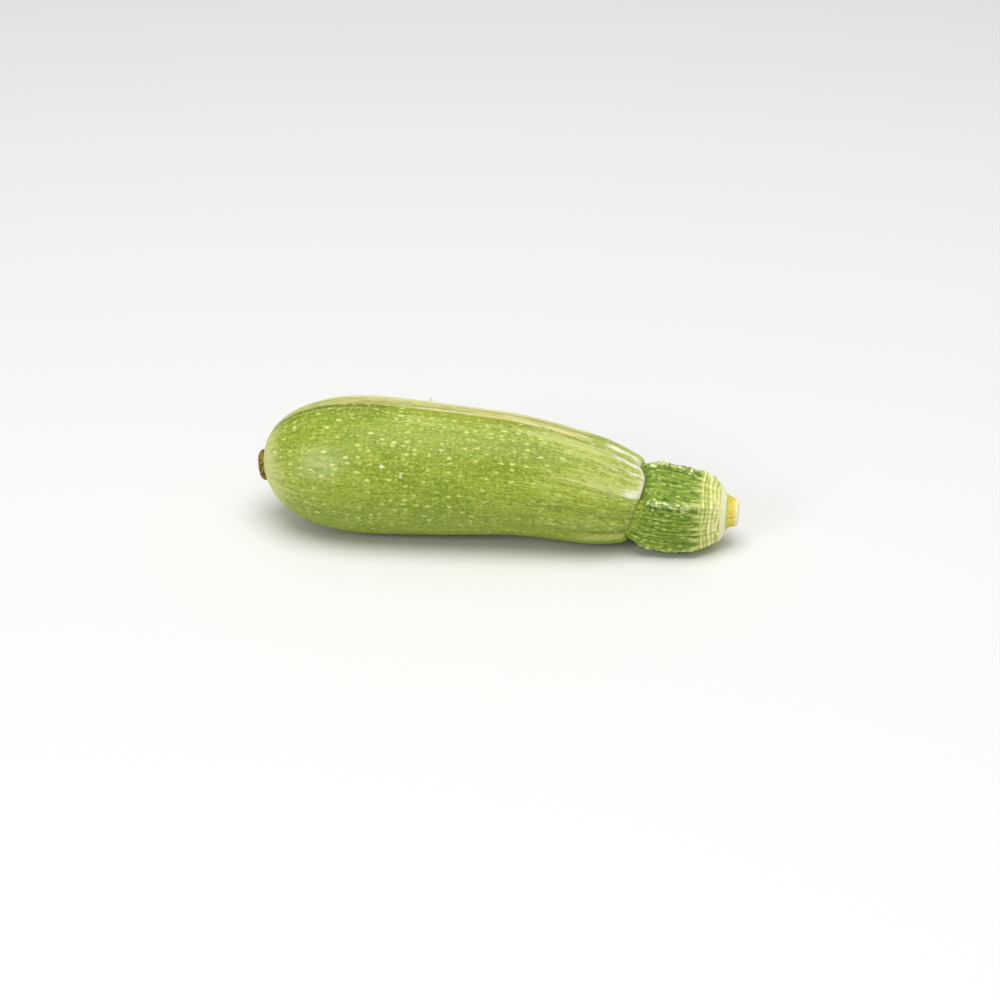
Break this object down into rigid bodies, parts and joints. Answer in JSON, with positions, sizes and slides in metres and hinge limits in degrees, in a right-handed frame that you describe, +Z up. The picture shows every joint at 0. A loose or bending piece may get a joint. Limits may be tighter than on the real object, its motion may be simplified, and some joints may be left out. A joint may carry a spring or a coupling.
{
  "type": "vegetable marrow",
  "caption": "Pale green vegetable marrow as picked, lying on its side: a tapering creased fruit with a ridged stem at one end and a corky blossom scar at the other.",
  "frame": {"origin": "middle of the underside of the marrow's bounding box, on the surface it lies on", "axes": "+X runs from the blossom scar to the stem's snapped end, +Z is up and -Y is the side that the picture shows"},
  "size_m": [0.1892, 0.0544, 0.0534],
  "materials": {
    "fruit_skin": "waxy satin skin, pale flecks",
    "stem_skin": "dull, ridged and bristly",
    "cork": "dry and rough"
  },
  "bodies": {
    "root": {"fruit": "fruit_skin", "stem": "stem_skin", "blossom_scar": "cork"}
  },
  "joints": []
}
